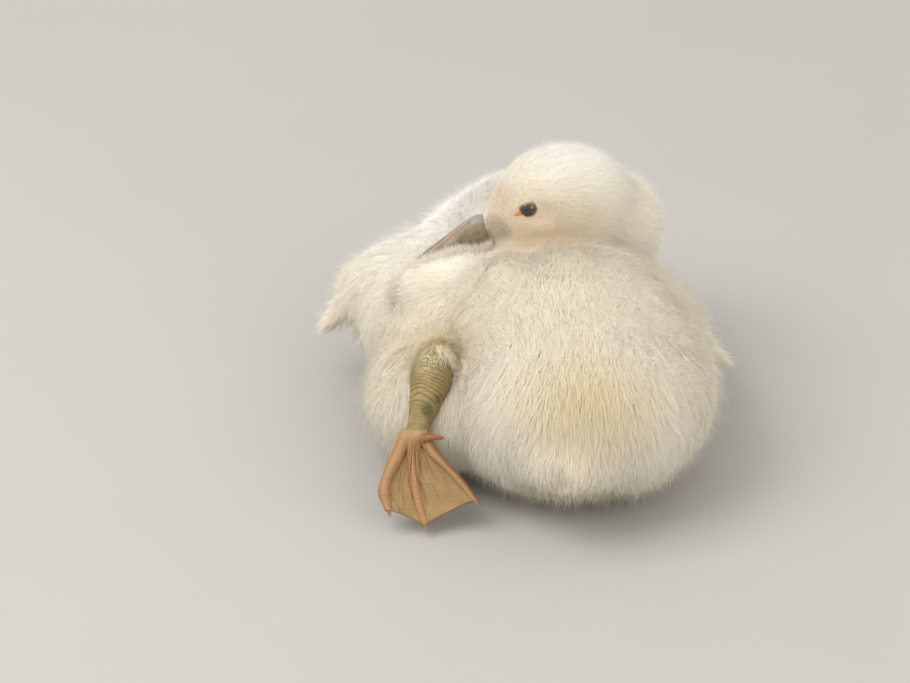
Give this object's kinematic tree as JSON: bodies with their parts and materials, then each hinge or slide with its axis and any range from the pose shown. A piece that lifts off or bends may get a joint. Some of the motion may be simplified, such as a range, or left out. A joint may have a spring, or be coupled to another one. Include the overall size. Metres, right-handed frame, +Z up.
{
  "type": "mute swan cygnet",
  "caption": "Downy swan chick lying on its belly, head turned back to rest on its back, one webbed foot stretched out behind.",
  "frame": {"origin": "on the floor, under the middle of the bird's box", "axes": "+Z up; +Y the way the breast faces; +X the bird's right side"},
  "size_m": [0.1988, 0.2036, 0.1252],
  "materials": {
    "down": "soft white down",
    "bill": "satin horn",
    "nail": "satin horn",
    "eye": "wet gloss",
    "leg": "scaled skin",
    "web": "creased skin",
    "claw": "satin horn"
  },
  "bodies": {
    "root": {"trunk": "down", "thigh_left": "down", "thigh_right": "down", "tail": "down", "neck": "down", "head": "down", "wing_left": "down", "wing_right": "down", "bill_upper": "bill", "bill_lower": "bill", "bill_nail": "nail", "eye_left": "eye", "eye_right": "eye", "tarsus_left": "leg", "hallux_left": "leg", "foot_left": "web", "claw_left_2": "claw", "claw_left_3": "claw", "claw_left_4": "claw", "tarsus_right": "leg", "hallux_right": "leg", "foot_right": "web", "claw_right_2": "claw", "claw_right_3": "claw", "claw_right_4": "claw"}
  },
  "joints": []
}
